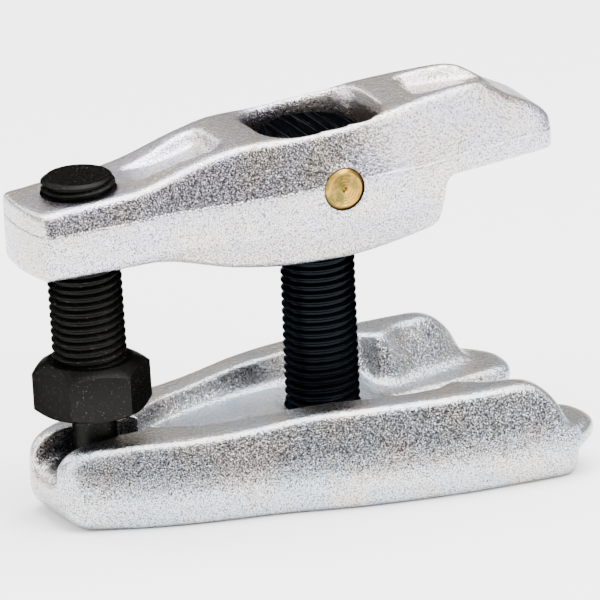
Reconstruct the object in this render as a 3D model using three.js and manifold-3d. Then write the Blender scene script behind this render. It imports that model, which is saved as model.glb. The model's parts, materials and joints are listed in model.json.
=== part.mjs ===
// Ball joint separator: two zinc plated forgings, hinged on a pin through the head of a threaded centre
// stud and spread at the back by a forcing spindle, so that their jaws close over a ball joint.
// Millimetres, +Z up. The arms lie along X with their jaws at +X, and Z = 0 is the lower arm's flat
// underside. Shapes are worked out with the stud's axis at X = 0, Y = 0, and the finished tool is then
// moved along X to stand over its own middle.
import * as THREE from "three";
import { mergeVertices } from "three/addons/utils/BufferGeometryUtils.js";
import Module from "manifold-3d";

const wasm = await Module();
wasm.setup();

// ---------------------------------------------------------------- driving dimensions

// Clearances
const RUNNING_GAP = 0.3; // all round a shaft in its hole, and under the spindle's foot
const HEAD_GAP = 0.4; // each side of the stud's head in the upper arm's opening
const CUT = 1; // how far a cutting shape runs past the face that it leaves

// Layout
const SPINDLE_REACH = 61.4; // stud axis back to spindle axis, along the upper arm
const JAW_REACH = 58.5; // stud axis forward to the tips of the fork
const PIVOT_HEIGHT = 76.15; // pivot pin's axis above the underside
const ARM_TILT = -1.7; // degrees that the upper arm is turned about +Y at rest: its jaw end is up

// Fasteners
const THREAD_DIAMETER = 18; // spindle and stud are both M18 x 2
const THREAD_PITCH = 2;
const HEAD_DIAMETER = 24.2; // round head of the stud
const HEAD_ABOVE_PIVOT = 10.6;
const HEAD_BELOW_PIVOT = 11;
const PIN_DIAMETER = 10;
const PIN_CHAMFER = 0.7;
const PIN_CENTRE_DIAMETER = 1.6; // centre left by the lathe in each end of the pin
const PIN_CENTRE_DEPTH = 0.6;
const STUD_END_HEIGHT = 1; // stud's lower end above the underside

// Spindle
const SPINDLE_PROUD = 4; // how far its end stands out of the upper arm
const HEX_ACROSS_FLATS = 25;
const HEX_LENGTH = 12.5;
const HEX_TURN = 16; // degrees that the hexagon is turned about the spindle's axis
const HEX_UPPER_CHAMFER = 2.4;
const HEX_LOWER_CHAMFER = 1.2;
const FOOT_DIAMETER = 10.8;
const FOOT_LENGTH = 14;
const FOOT_CHAMFER = 1.5;

// Upper arm, heights from the pivot's axis in the arm's own frame
const BLOCK_OVERHANG = 16.4; // back end beyond the spindle's axis
const BLOCK_HALF_WIDTH = 13.5;
const BLOCK_TOP = 7.2;
const BLOCK_BOTTOM = -10.3;
const SHOULDER_TOP = 14.1;
const HORN_TOP = 16.5;
const BELLY_BOTTOM = -18.6;
const LIP_BOTTOM = -3.3;
const NOSE_TOP = 4.2;
const NOSE_REACH = 58.4; // stud axis forward to the nose
const NOSE_HALF_WIDTH = 12.4;
const WAIST_HALF_WIDTH = 18.2; // at the pivot
const LIP_START = 27; // stud axis forward to the riser behind the lip
const UPPER_PARTING = 1; // parting line at the pivot
const KNEE_HEIGHT = -7.8; // where the sides start to turn in under the belly
const KNEE_DRAFT = 0.4; // each side leans in by this from parting line to knee
const BELLY_DRAFT = 2.8; // and by this from parting line to bottom
const BLOCK_DRAFT = 0.9; // each side of the block leans in by this from parting line to top
const SHOULDER_DRAFT = 3; // the same at the pivot
const HORN_DRAFT = 4.2; // and over the lip
const UPPER_EDGE = 2; // rounding of the upper arm's long edges
const OPENING_LENGTH = 30.4; // for the stud's head, along the arm
const OPENING_CORNER = 8; // radius of its corners
const OPENING_EDGE = 0.7; // bevel round the opening's rim
const BACK_POCKET_DEPTH = 4.6;
const BACK_POCKET_END = -25.4; // stud axis back to the pocket's end wall
const NOSE_POCKET_DEPTH = 2.8;
const NOSE_POCKET_START = 24.6; // stud axis forward to the pocket's closed end
const NOSE_POCKET_HALF_WIDTH = 7.8;
const POCKET_HALF_WIDTH = 9.2;

// Lower arm, heights from its underside
const TAIL_OVERHANG = 14.3; // back end beyond the spindle's foot
const GROOVE_FLOOR = 12.6;
const GROOVE_LENGTH = 27.5;
const WEB_HEIGHT = 18;
const TAIL_RIB_HEIGHT = 20.4;
const RIB_HEIGHT = 24.6;
const TONGUE_HEIGHT = 12.5;
const TONGUE_THICKNESS = 4.8;
const TONGUE_OVERHANG = 4.2; // tips of the tongues beyond the body under them
const TONGUE_LENGTH = 9; // from the ends of the ribs to the tips of the fork
const PARTING_HEIGHT = 9.5;
const TAIL_HALF_WIDTH = 13;
const FORK_HALF_WIDTH = 36.6;
const SIDE_DRAFT = 3; // each side leans in by this from parting line to crest
const FOOT_DRAFT = 1.6; // and by this from parting line to underside
const LOWER_EDGE = 2.4;
const SLOT_WIDTH = 19; // nominal capacity of the fork
const SLOT_START = 15.5; // stud axis forward to the closed end of the slot
const SLOT_FLARE = 0.2; // growth of each side of the slot for each millimetre forward
const COUNTERSINK = 1.3; // round the mouth of the stud's hole

// ---------------------------------------------------------------- derived dimensions

const thread_radius = THREAD_DIAMETER / 2;
const thread_depth = 0.6134 * THREAD_PITCH;
const thread_hole_radius = thread_radius + RUNNING_GAP;
const head_radius = HEAD_DIAMETER / 2;
const opening_half_width = head_radius + HEAD_GAP;
const pin_hole_radius = PIN_DIAMETER / 2 + RUNNING_GAP;
const tilt = THREE.MathUtils.degToRad(ARM_TILT);
const groove_half_width = FOOT_DIAMETER / 2 + 2 * RUNNING_GAP;
const foot_bottom = (GROOVE_FLOOR + RUNNING_GAP - PIVOT_HEIGHT - SPINDLE_REACH * Math.sin(tilt)) / Math.cos(tilt);
const foot_x = -SPINDLE_REACH * Math.cos(tilt) + foot_bottom * Math.sin(tilt);
const tail_end = foot_x - TAIL_OVERHANG;
const back_end = -SPINDLE_REACH - BLOCK_OVERHANG;
const rib_end = JAW_REACH - TONGUE_LENGTH;

// ---------------------------------------------------------------- solids

// A three.js geometry as a solid that can be joined and cut.
function solidFrom(geometry) {
  const bare = geometry.index ? geometry.toNonIndexed() : geometry.clone();
  bare.deleteAttribute("normal");
  bare.deleteAttribute("uv");
  const merged = mergeVertices(bare, 1e-4);
  const mesh = new wasm.Mesh({
    numProp: 3,
    vertProperties: new Float32Array(merged.attributes.position.array),
    triVerts: new Uint32Array(merged.index.array),
  });
  return new wasm.Manifold(mesh);
}

// A finished solid as a named mesh.
function meshFrom(name, solid, material) {
  const data = solid.getMesh();
  const geometry = new THREE.BufferGeometry();
  geometry.setAttribute("position", new THREE.BufferAttribute(data.vertProperties, 3));
  geometry.setIndex(new THREE.BufferAttribute(data.triVerts, 1));
  geometry.computeVertexNormals();
  const mesh = new THREE.Mesh(geometry, material);
  mesh.name = name;
  return mesh;
}

// A smooth curve through [x, value] points that never overshoots them.
function profile(points) {
  const slopes = points.slice(1).map(([x, y], i) => (y - points[i][1]) / (x - points[i][0]));
  const tangents = points.map((_, i) => {
    const before = slopes[Math.max(i - 1, 0)];
    const after = slopes[Math.min(i, slopes.length - 1)];
    return before * after > 0 ? (2 * before * after) / (before + after) : 0;
  });
  return (x) => {
    if (x <= points[0][0]) return points[0][1];
    const next = points.findIndex(([px]) => px >= x);
    if (next < 0) return points[points.length - 1][1];
    const [x0, y0] = points[next - 1];
    const [x1, y1] = points[next];
    const span = x1 - x0;
    const t = (x - x0) / span;
    const rise = t * t * (3 - 2 * t);
    const bend0 = t * (1 - t) * (1 - t) * span * tangents[next - 1];
    const bend1 = t * t * (t - 1) * span * tangents[next];
    return y0 + (y1 - y0) * rise + bend0 + bend1;
  };
}

// A bar along X whose section, a ring of [y, z] corners, changes from place to place.
function loft(start, end, step, ringAt) {
  const steps = Math.ceil((end - start) / step);
  const first = ringAt(start);
  const shape = new THREE.Shape(first.map(([y, z]) => new THREE.Vector2(y, z)));
  const geometry = new THREE.ExtrudeGeometry(shape, { depth: 1, steps, bevelEnabled: false });
  const rings = Array.from({ length: steps + 1 }, (_, i) => ringAt(start + ((end - start) * i) / steps));
  const place = geometry.attributes.position;
  for (let i = 0; i < place.count; i++) {
    const station = Math.round(place.getZ(i) * steps);
    const corner = first.findIndex(
      ([y, z]) => Math.abs(y - place.getX(i)) < 1e-4 && Math.abs(z - place.getY(i)) < 1e-4,
    );
    const [y, z] = rings[station][corner];
    place.setXYZ(i, start + ((end - start) * station) / steps, y, z);
  }
  return solidFrom(geometry);
}

// The section of a forging: flat bottom and top, rounded edges, and sides that lean in from the parting
// line both ways. The corners run round from the bottom at +Y, and sides lists those of the side.
function forgedRing({ bottom, top, bottomHalf, topHalf, sides, edge }) {
  const quarter = [0, 0.25, 0.5, 0.75, 1].map((t) => (t * Math.PI) / 2);
  const half = [
    ...quarter.map((a) => [bottomHalf - edge * (1 - Math.sin(a)), bottom + edge * (1 - Math.cos(a))]),
    ...sides,
    ...quarter.map((a) => [topHalf - edge * (1 - Math.cos(a)), top - edge * (1 - Math.sin(a))]),
  ];
  const mirrored = half.map(([y, z]) => [-y, z]).reverse();
  return [...half, ...mirrored];
}

// A flat outline in plan, from z = low to z = high.
function planPrism(shape, low, high, curveSegments = 12) {
  const geometry = new THREE.ExtrudeGeometry(shape, { depth: high - low, bevelEnabled: false, curveSegments });
  geometry.translate(0, 0, low);
  return solidFrom(geometry);
}

// A side view outline in X and Z, from -halfWidth to +halfWidth across.
function sidePrism(shape, halfWidth) {
  const geometry = new THREE.ExtrudeGeometry(shape, {
    depth: 2 * halfWidth,
    bevelEnabled: false,
    curveSegments: 12,
  });
  geometry.rotateX(Math.PI / 2);
  geometry.translate(0, halfWidth, 0);
  return solidFrom(geometry);
}

// A solid of revolution about Z, from [radius, z] points that start and end on the axis.
function turned(points, segments = 48) {
  const corners = points.map(([r, z]) => new THREE.Vector2(r, z));
  const geometry = new THREE.LatheGeometry(corners, segments);
  geometry.rotateX(Math.PI / 2);
  return solidFrom(geometry);
}

// A plain cylinder about Z.
function cylinder(radius, low, high, segments = 48) {
  const geometry = new THREE.CylinderGeometry(radius, radius, high - low, segments);
  geometry.rotateX(Math.PI / 2);
  geometry.translate(0, 0, (low + high) / 2);
  return solidFrom(geometry);
}

// A plain cylinder about Y.
function crossCylinder(radius, halfLength, segments = 40) {
  return solidFrom(new THREE.CylinderGeometry(radius, radius, 2 * halfLength, segments));
}

// An oblong with round corners, centred on the origin, with every side moved out by grow.
function oblong(length, halfWidth, corner, grow = 0) {
  const radius = corner + grow;
  const x = length / 2 - corner;
  const y = halfWidth - corner;
  const shape = new THREE.Shape();
  shape.absarc(x, -y, radius, -Math.PI / 2, 0, false);
  shape.absarc(x, y, radius, 0, Math.PI / 2, false);
  shape.absarc(-x, y, radius, Math.PI / 2, Math.PI, false);
  shape.absarc(-x, -y, radius, Math.PI, (3 * Math.PI) / 2, false);
  return shape;
}

// ---------------------------------------------------------------- upper arm

const upper_top = profile([
  [back_end, BLOCK_TOP - 0.2],
  [-SPINDLE_REACH + thread_radius, BLOCK_TOP + 0.9],
  [-OPENING_LENGTH / 2 - 14, SHOULDER_TOP - 0.8],
  [-OPENING_LENGTH / 2 - 6, SHOULDER_TOP + 0.2],
  [-OPENING_LENGTH / 2 + 7, SHOULDER_TOP],
  [NOSE_REACH - 21, HORN_TOP],
  [NOSE_REACH - 17.4, HORN_TOP - 0.4],
  [NOSE_REACH - 9.5, NOSE_TOP + 7],
  [NOSE_REACH - 3.2, NOSE_TOP + 3.4],
  [NOSE_REACH - 0.8, NOSE_TOP + 1.4],
  [NOSE_REACH, NOSE_TOP],
]);

const upper_bottom = profile([
  [back_end, BLOCK_BOTTOM],
  [-SPINDLE_REACH + thread_radius + 3, BLOCK_BOTTOM - 0.4],
  [-OPENING_LENGTH / 2 - 11, BELLY_BOTTOM + 2.3],
  [-OPENING_LENGTH / 2 + 3, BELLY_BOTTOM + 0.4],
  [2, BELLY_BOTTOM],
  [LIP_START - 8, BELLY_BOTTOM + 1.6],
  [LIP_START, BELLY_BOTTOM + 2.8],
]);

const upper_half_width = profile([
  [back_end, BLOCK_HALF_WIDTH - 0.5],
  [-SPINDLE_REACH, BLOCK_HALF_WIDTH],
  [-SPINDLE_REACH + BLOCK_OVERHANG, BLOCK_HALF_WIDTH + 0.6],
  [-OPENING_LENGTH / 2, WAIST_HALF_WIDTH - 0.7],
  [0, WAIST_HALF_WIDTH],
  [OPENING_LENGTH / 2, WAIST_HALF_WIDTH - 0.5],
  [NOSE_REACH - 18, NOSE_HALF_WIDTH + 2],
  [NOSE_REACH, NOSE_HALF_WIDTH],
]);

const upper_lean = profile([
  [-SPINDLE_REACH + thread_radius, BLOCK_DRAFT],
  [-OPENING_LENGTH / 2 - 8, SHOULDER_DRAFT],
  [0, SHOULDER_DRAFT],
  [LIP_START, HORN_DRAFT],
  [NOSE_REACH - 18, HORN_DRAFT],
  [NOSE_REACH, HORN_DRAFT - 2.4],
]);

const upper_parting = profile([
  [back_end, UPPER_PARTING - 0.1],
  [0, UPPER_PARTING],
  [NOSE_REACH, UPPER_PARTING + 1.2],
]);

function upperRing(x) {
  const half = upper_half_width(x);
  return forgedRing({
    bottom: upper_bottom(x),
    top: upper_top(x),
    bottomHalf: half - BELLY_DRAFT * THREE.MathUtils.smoothstep(x, -SPINDLE_REACH, -OPENING_LENGTH / 2) - 0.5,
    topHalf: half - upper_lean(x),
    sides: [
      [half - KNEE_DRAFT, KNEE_HEIGHT],
      [half, upper_parting(x)],
    ],
    edge: UPPER_EDGE,
  });
}

// Plan outline with rounded back corners, a slightly bowed back end and a rounded nose.
function upperOutline() {
  const back = 5;
  const bow = 0.8;
  const nose = 4.5;
  const wide = WAIST_HALF_WIDTH + 2 * CUT;
  const shape = new THREE.Shape();
  shape.moveTo(0, -wide);
  shape.lineTo(NOSE_REACH - 2 * nose, -wide);
  shape.lineTo(NOSE_REACH - nose, -NOSE_HALF_WIDTH);
  shape.quadraticCurveTo(NOSE_REACH, -NOSE_HALF_WIDTH, NOSE_REACH, nose - NOSE_HALF_WIDTH);
  shape.lineTo(NOSE_REACH, NOSE_HALF_WIDTH - nose);
  shape.quadraticCurveTo(NOSE_REACH, NOSE_HALF_WIDTH, NOSE_REACH - nose, NOSE_HALF_WIDTH);
  shape.lineTo(NOSE_REACH - 2 * nose, wide);
  shape.lineTo(back_end + 2 * back, wide);
  shape.lineTo(back_end + back, BLOCK_HALF_WIDTH);
  shape.quadraticCurveTo(back_end + bow, BLOCK_HALF_WIDTH, back_end + bow, BLOCK_HALF_WIDTH - back);
  shape.quadraticCurveTo(back_end - bow, 0, back_end + bow, back - BLOCK_HALF_WIDTH);
  shape.quadraticCurveTo(back_end + bow, -BLOCK_HALF_WIDTH, back_end + back, -BLOCK_HALF_WIDTH);
  shape.lineTo(back_end + 2 * back, -wide);
  return shape;
}

// The oval opening that the stud's head works in, bevelled round its upper rim.
function headOpening() {
  const outline = oblong(OPENING_LENGTH, opening_half_width, OPENING_CORNER);
  const hole = planPrism(outline, BELLY_BOTTOM - CUT, HORN_TOP + CUT, 8);
  const inset = oblong(OPENING_LENGTH, opening_half_width, OPENING_CORNER, -OPENING_EDGE);
  const rim = new THREE.ExtrudeGeometry(inset, {
    depth: HORN_TOP - SHOULDER_TOP + CUT,
    bevelSegments: 1,
    bevelThickness: 4 * OPENING_EDGE,
    bevelSize: 2 * OPENING_EDGE,
    curveSegments: 8,
  });
  rim.translate(0, 0, SHOULDER_TOP);
  return hole.add(solidFrom(rim));
}

// A pocket sunk in the top from start to end, with sides that lean out.
function pocket({ start, end, step, floor, half, high, slope }) {
  return loft(start, end, step, (x) => {
    const lean = slope * (high - floor(x));
    return [
      [half(x) - lean, floor(x)],
      [half(x), high],
      [-half(x), high],
      [lean - half(x), floor(x)],
    ];
  });
}

// The recess that carries the spindle's flat seat on into the shoulder, up to a steep end wall.
function backPocket() {
  const start = -SPINDLE_REACH + thread_radius + 1;
  const end = BACK_POCKET_END;
  const floor = profile([
    [start, BLOCK_TOP + 1.4],
    [start + 6, BLOCK_TOP + 1],
    [end - 6, SHOULDER_TOP - BACK_POCKET_DEPTH],
    [end - 2.6, SHOULDER_TOP - BACK_POCKET_DEPTH + 1],
    [end, SHOULDER_TOP + CUT],
  ]);
  const half = profile([
    [start, POCKET_HALF_WIDTH + 1.4],
    [start + 12, POCKET_HALF_WIDTH],
    [end - 5, POCKET_HALF_WIDTH + 0.6],
    [end - 2, POCKET_HALF_WIDTH - 0.4],
    [end, POCKET_HALF_WIDTH - 3],
  ]);
  return pocket({ start, end, step: 1.2, floor, half, high: SHOULDER_TOP + 2 * CUT, slope: 0.7 });
}

// The shallow recess behind the nose, which runs out through the slope in front of it.
function nosePocket() {
  const start = NOSE_POCKET_START - 0.6;
  const end = NOSE_REACH - 9;
  const floor = profile([
    [start, HORN_TOP + CUT],
    [start + 2.8, HORN_TOP - NOSE_POCKET_DEPTH],
    [end, HORN_TOP - NOSE_POCKET_DEPTH - 1.2],
  ]);
  const half = profile([
    [start, NOSE_POCKET_HALF_WIDTH - 1.6],
    [start + 3, NOSE_POCKET_HALF_WIDTH],
    [end - 12, NOSE_POCKET_HALF_WIDTH - 0.2],
    [end, NOSE_POCKET_HALF_WIDTH - 2.4],
  ]);
  return pocket({ start, end, step: 1.4, floor, half, high: HORN_TOP + 2 * CUT, slope: 0.35 });
}

// The space under the lip: a riser with a rounded foot and a rounded inner corner.
function lipNotch() {
  const foot = 3;
  const corner = 2.4;
  const low = BELLY_BOTTOM - 2 * CUT;
  const foot_height = upper_bottom(LIP_START);
  const shape = new THREE.Shape();
  shape.moveTo(LIP_START - foot, low);
  shape.lineTo(LIP_START - foot, foot_height - 0.5);
  shape.quadraticCurveTo(LIP_START - 0.4, foot_height, LIP_START, foot_height + foot);
  shape.lineTo(LIP_START + 0.6, LIP_BOTTOM - corner);
  shape.quadraticCurveTo(LIP_START + 0.8, LIP_BOTTOM, LIP_START + 0.8 + corner, LIP_BOTTOM);
  shape.lineTo(NOSE_REACH + 3 * CUT, LIP_BOTTOM);
  shape.lineTo(NOSE_REACH + 3 * CUT, low);
  return sidePrism(shape, WAIST_HALF_WIDTH + CUT);
}

function upperArm() {
  const past = 2 * CUT;
  const body = loft(back_end - past, NOSE_REACH + past, 1.8, upperRing)
    .intersect(planPrism(upperOutline(), BELLY_BOTTOM - past, HORN_TOP + past));
  const spindle_hole = cylinder(thread_hole_radius, BLOCK_BOTTOM - 4, BLOCK_TOP + 4)
    .translate([-SPINDLE_REACH, 0, 0]);
  return body
    .subtract(lipNotch())
    .subtract(headOpening())
    .subtract(backPocket())
    .subtract(nosePocket())
    .subtract(spindle_hole)
    .subtract(crossCylinder(pin_hole_radius, WAIST_HALF_WIDTH + CUT));
}

// ---------------------------------------------------------------- lower arm

const crest_height = profile([
  [tail_end, TAIL_RIB_HEIGHT - 5.4],
  [tail_end + 1.2, TAIL_RIB_HEIGHT - 3],
  [tail_end + 3.6, TAIL_RIB_HEIGHT - 1.2],
  [tail_end + 8, TAIL_RIB_HEIGHT],
  [foot_x + GROOVE_LENGTH, TAIL_RIB_HEIGHT + 1.6],
  [-thread_radius, RIB_HEIGHT - 0.4],
  [rib_end - 12, RIB_HEIGHT],
  [rib_end - 8, RIB_HEIGHT - 0.8],
  [rib_end - 4.4, RIB_HEIGHT - 3.6],
  [rib_end - 1.7, TONGUE_HEIGHT + 4.4],
  [rib_end - 0.2, TONGUE_HEIGHT + 0.5],
  [rib_end + 0.8, TONGUE_HEIGHT],
]);

const lower_half_width = profile([
  [tail_end, TAIL_HALF_WIDTH - 1],
  [tail_end + 7, TAIL_HALF_WIDTH + 2.4],
  [foot_x + 16, TAIL_HALF_WIDTH + 10.2],
  [-23.4, FORK_HALF_WIDTH - 9.6],
  [0, FORK_HALF_WIDTH - 3.6],
  [26, FORK_HALF_WIDTH - 0.4],
  [rib_end, FORK_HALF_WIDTH],
]);

function lowerRing(x) {
  const half = lower_half_width(x);
  const top = crest_height(x);
  const lean = (SIDE_DRAFT * (top - PARTING_HEIGHT)) / (RIB_HEIGHT - PARTING_HEIGHT);
  return forgedRing({
    bottom: 0,
    top,
    bottomHalf: half - FOOT_DRAFT,
    topHalf: half - Math.max(lean, 0.2),
    sides: [
      [half - 0.35, PARTING_HEIGHT - 3.6],
      [half, PARTING_HEIGHT],
      [half - 0.3 * Math.max(lean, 0.2), THREE.MathUtils.lerp(PARTING_HEIGHT, top, 0.4)],
    ],
    edge: Math.min(LOWER_EDGE, 0.45 * (top - PARTING_HEIGHT)),
  });
}

// Plan outline: two round lobes at the tail and two round tongues at the jaws, whose tips are held back
// by the overhang where the outline is that of the body under them.
function lowerOutline(overhang) {
  const wide = FORK_HALF_WIDTH + 2 * CUT;
  const lobe = 7;
  const tip = JAW_REACH - overhang;
  const shoulder = rib_end - 3 - overhang;
  const tongue_middle = FORK_HALF_WIDTH - 11.6;
  const inner = SLOT_WIDTH / 2 + 5;
  const shape = new THREE.Shape();
  shape.moveTo(0, -wide);
  shape.lineTo(shoulder - 1, -wide);
  shape.lineTo(shoulder, -FORK_HALF_WIDTH);
  shape.bezierCurveTo(tip - 6, -FORK_HALF_WIDTH, tip, -FORK_HALF_WIDTH + 6, tip, -tongue_middle);
  shape.quadraticCurveTo(tip, -inner - 1, tip - 5, -inner);
  shape.lineTo(tip - 5, inner);
  shape.quadraticCurveTo(tip, inner + 1, tip, tongue_middle);
  shape.bezierCurveTo(tip, FORK_HALF_WIDTH - 6, tip - 6, FORK_HALF_WIDTH, shoulder, FORK_HALF_WIDTH);
  shape.lineTo(shoulder - 1, wide);
  shape.lineTo(tail_end + 2 * lobe, wide);
  shape.lineTo(tail_end + lobe, TAIL_HALF_WIDTH + 1.8);
  shape.quadraticCurveTo(tail_end + 0.4, TAIL_HALF_WIDTH, tail_end, groove_half_width);
  shape.lineTo(tail_end, -groove_half_width);
  shape.quadraticCurveTo(tail_end + 0.4, -TAIL_HALF_WIDTH, tail_end + lobe, -TAIL_HALF_WIDTH - 1.8);
  shape.lineTo(tail_end + 2 * lobe, -wide);
  return shape;
}

// The tongues' own slab, rounded above and below along its tips.
function tongueSlab() {
  const round = 1.5;
  const geometry = new THREE.ExtrudeGeometry(lowerOutline(round), {
    depth: TONGUE_THICKNESS - 2 * round,
    bevelSegments: 3,
    bevelThickness: round,
    bevelSize: round,
    curveSegments: 12,
  });
  geometry.translate(0, 0, TONGUE_HEIGHT - TONGUE_THICKNESS + round);
  const back = new THREE.Shape();
  const wide = FORK_HALF_WIDTH + 4 * CUT;
  back.moveTo(tail_end - 4 * CUT, -wide);
  back.lineTo(0, -wide);
  back.lineTo(0, wide);
  back.lineTo(tail_end - 4 * CUT, wide);
  return solidFrom(geometry).subtract(planPrism(back, 0, TONGUE_HEIGHT + CUT));
}

// Side outline of the body: its tail curves well up from the underside, and its jaw end a little.
function lowerSide() {
  const front = JAW_REACH - TONGUE_OVERHANG;
  const high = RIB_HEIGHT + CUT;
  const shape = new THREE.Shape();
  shape.moveTo(tail_end + 7.5, 0);
  shape.lineTo(front - 3.6, 0);
  shape.quadraticCurveTo(front, 0, front, 3.6);
  shape.lineTo(front, high);
  shape.lineTo(tail_end, high);
  shape.lineTo(tail_end, 11);
  shape.bezierCurveTo(tail_end, 5, tail_end + 2.2, 0.7, tail_end + 7.5, 0);
  return shape;
}

// The trough between the ribs: its floor is the web, which steps down to the tongues beside the slot,
// and its sides swell inward where each rib's end starts.
function ribTrough() {
  const start = foot_x + GROOVE_LENGTH - 14.5;
  const swell = SLOT_START + 8.5;
  const high = RIB_HEIGHT + CUT;
  const floor = profile([
    [start, WEB_HEIGHT - 1.6],
    [-thread_radius - 4, WEB_HEIGHT],
    [thread_radius + 2, WEB_HEIGHT],
    [swell - 2, TONGUE_HEIGHT + 0.6],
    [swell + 1, TONGUE_HEIGHT],
  ]);
  const foot = profile([
    [start, 3.6],
    [start + 10, 9.2],
    [-22, 12.2],
    [-4, 14.6],
    [swell - 10, 17.6],
    [swell - 4.5, 17.4],
    [swell + 0.5, 14.2],
    [swell + 6, 15],
    [rib_end - 4, 20.9],
    [rib_end + 3, 25.6],
    [JAW_REACH + CUT, FORK_HALF_WIDTH + CUT],
  ]);
  const crest = profile([
    [start, 6.4],
    [start + 10, 12],
    [-22, 16.4],
    [-8.5, 19.4],
    [swell - 10, 23.8],
    [swell - 4.5, 23.8],
    [swell + 0.5, 20.4],
    [swell + 8, 25.4],
    [rib_end - 7, 27.4],
    [rib_end + 3, 30],
    [JAW_REACH + CUT, FORK_HALF_WIDTH + 3 * CUT],
  ]);
  return loft(start, JAW_REACH + CUT, 1.8, (x) => {
    const low = floor(x);
    const middle = THREE.MathUtils.lerp(low, Math.max(crest_height(x), low + 3), 0.7);
    const half = [
      [foot(x), low],
      [THREE.MathUtils.lerp(foot(x), crest(x), 0.35), low + 1],
      [THREE.MathUtils.lerp(foot(x), crest(x), 0.72), middle],
      [crest(x), high],
    ];
    return [...half, ...half.map(([y, z]) => [-y, z]).reverse()];
  });
}

// The groove that the spindle's foot slides in, open at the tail.
function footGroove() {
  const end = tail_end + GROOVE_LENGTH - groove_half_width;
  const shape = new THREE.Shape();
  shape.moveTo(tail_end - CUT, groove_half_width);
  shape.lineTo(tail_end - CUT, -groove_half_width);
  shape.absarc(end, 0, groove_half_width, -Math.PI / 2, Math.PI / 2, false);
  return planPrism(shape, GROOVE_FLOOR, RIB_HEIGHT + CUT).add(grooveLip());
}

// The rounding where the groove's floor runs out over the tail.
function grooveLip() {
  const drop = 4.5;
  const shape = new THREE.Shape();
  shape.moveTo(tail_end - CUT, GROOVE_FLOOR - drop);
  shape.quadraticCurveTo(tail_end + 0.5, GROOVE_FLOOR - 0.5, tail_end + drop, GROOVE_FLOOR);
  shape.lineTo(tail_end + drop, GROOVE_FLOOR + CUT);
  shape.lineTo(tail_end - CUT, GROOVE_FLOOR + CUT);
  return sidePrism(shape, groove_half_width);
}

// The fork's slot: a round closed end and sides that flare towards the tips.
function forkSlot() {
  const radius = SLOT_WIDTH / 2 - 1;
  const centre = SLOT_START + radius;
  const end = JAW_REACH + CUT;
  const mouth = radius + SLOT_FLARE * (end - centre);
  const shape = new THREE.Shape();
  shape.moveTo(end, -mouth);
  shape.lineTo(end, mouth);
  shape.absarc(centre, 0, radius, Math.PI / 2, (3 * Math.PI) / 2, false);
  return planPrism(shape, -CUT, WEB_HEIGHT + CUT);
}

// The stud's threaded hole, countersunk at the web.
function studHole() {
  return turned([
    [0, -CUT],
    [thread_hole_radius, -CUT],
    [thread_hole_radius, WEB_HEIGHT - COUNTERSINK],
    [thread_hole_radius + COUNTERSINK, WEB_HEIGHT],
    [thread_hole_radius + COUNTERSINK, WEB_HEIGHT + CUT],
    [0, WEB_HEIGHT + CUT],
  ]);
}

function lowerArm() {
  const under_tongue = TONGUE_HEIGHT - TONGUE_THICKNESS;
  const step = planPrism(lowerOutline(TONGUE_OVERHANG / 2), under_tongue - 1.6, TONGUE_HEIGHT - 1);
  const body = planPrism(lowerOutline(TONGUE_OVERHANG), -CUT, RIB_HEIGHT + CUT)
    .add(step)
    .intersect(sidePrism(lowerSide(), FORK_HALF_WIDTH + 3 * CUT));
  return loft(tail_end - CUT, JAW_REACH + CUT, 1.8, lowerRing)
    .intersect(body.add(tongueSlab()))
    .subtract(ribTrough())
    .subtract(footGroove())
    .subtract(forkSlot())
    .subtract(studHole());
}

// ---------------------------------------------------------------- turned parts

// The forcing spindle about its own axis, heights from the pivot's axis in the upper arm's frame.
function forcingSpindle() {
  const top = upper_top(-SPINDLE_REACH) + SPINDLE_PROUD;
  const hex_bottom = foot_bottom + FOOT_LENGTH;
  const hex_top = hex_bottom + HEX_LENGTH;
  const corner_radius = HEX_ACROSS_FLATS / Math.sqrt(3);
  const flat_radius = HEX_ACROSS_FLATS / 2;
  const shank = turned([
    [0, foot_bottom],
    [FOOT_DIAMETER / 2 - FOOT_CHAMFER, foot_bottom],
    [FOOT_DIAMETER / 2, foot_bottom + FOOT_CHAMFER],
    [FOOT_DIAMETER / 2, hex_bottom + CUT],
    [thread_radius, hex_bottom + CUT],
    [thread_radius, top - thread_depth],
    [thread_radius - thread_depth, top],
    [0, top],
  ]);
  const hexagon = cylinder(corner_radius, hex_bottom, hex_top, 6)
    .rotate([0, 0, HEX_TURN]);
  const chamfers = turned([
    [0, hex_bottom],
    [flat_radius - 0.2, hex_bottom],
    [corner_radius, hex_bottom + HEX_LOWER_CHAMFER],
    [corner_radius, hex_top - HEX_UPPER_CHAMFER],
    [flat_radius - 1.4, hex_top],
    [0, hex_top],
  ]);
  return shank.add(hexagon.intersect(chamfers));
}

// The centre stud about the world's Z axis: threaded shank, round head, cross hole for the pin.
function centreStud() {
  const head_bottom = PIVOT_HEIGHT - HEAD_BELOW_PIVOT;
  const head_top = PIVOT_HEIGHT + HEAD_ABOVE_PIVOT;
  const edge = 0.5;
  const blank = turned([
    [0, STUD_END_HEIGHT],
    [thread_radius - thread_depth, STUD_END_HEIGHT],
    [thread_radius, STUD_END_HEIGHT + thread_depth],
    [thread_radius, head_bottom],
    [head_radius - edge, head_bottom],
    [head_radius, head_bottom + edge],
    [head_radius, head_top - edge],
    [head_radius - edge, head_top],
    [0, head_top],
  ], 56);
  return blank.subtract(crossCylinder(pin_hole_radius, head_radius + CUT).translate([0, 0, PIVOT_HEIGHT]));
}

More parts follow.
